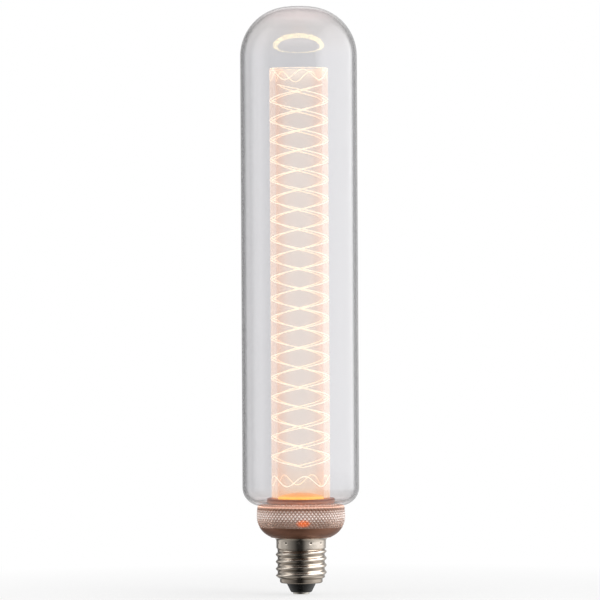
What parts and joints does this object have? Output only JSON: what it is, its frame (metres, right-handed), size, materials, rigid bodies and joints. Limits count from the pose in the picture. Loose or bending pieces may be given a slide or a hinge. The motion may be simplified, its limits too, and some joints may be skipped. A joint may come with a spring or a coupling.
{
  "type": "tubular light bulb",
  "caption": "Tubular LED bulb: long clear glass envelope with a domed end over an edge-lit engraved acrylic tube, prismatic collar, copper-brown bowl and an E27 screw cap.",
  "frame": {"origin": "tip of the centre contact, on the lamp's axis", "axes": "+Z along the lamp's axis, from the screw cap to the domed end of the glass; +X is the side where the crest of the thread starts"},
  "size_m": [0.06, 0.06, 0.3015],
  "materials": {
    "clear_glass": "gloss",
    "clear_acrylic": "gloss",
    "collar_acrylic": "gloss",
    "copper_brown": "gloss",
    "nickel": "satin",
    "black_insulator": "gloss",
    "contact_metal": "satin",
    "holder_plastic": "satin",
    "warm_reflector": "gloss",
    "board_white": "satin",
    "led_package": "satin",
    "spreader_metal": "brushed",
    "screw_steel": "satin",
    "sealant": "satin",
    "circuit_board": "satin",
    "capacitor_can": "satin",
    "ferrite": "matte",
    "chip_plastic": "matte",
    "resistor_coat": "satin",
    "live_wire": "satin",
    "neutral_wire": "satin",
    "led_wire": "satin"
  },
  "bodies": {
    "root": {"glass_envelope": "clear_glass", "light_guide": "clear_acrylic", "crystal_collar": "collar_acrylic", "base_cup": "copper_brown", "screw_shell": "nickel", "insulator": "black_insulator", "centre_contact": "contact_metal", "guide_holder": "holder_plastic", "centre_reflector": "warm_reflector", "led_board": "board_white", "leds": "led_package", "heat_spreader": "spreader_metal", "board_screws": "screw_steel", "neck_sealant": "sealant", "driver_board": "circuit_board", "smoothing_capacitor": "capacitor_can", "choke": "ferrite", "bridge_rectifier": "chip_plastic", "driver_chip": "chip_plastic", "fuse_resistor": "resistor_coat", "live_lead": "live_wire", "neutral_lead": "neutral_wire", "led_leads": "led_wire"}
  },
  "joints": []
}
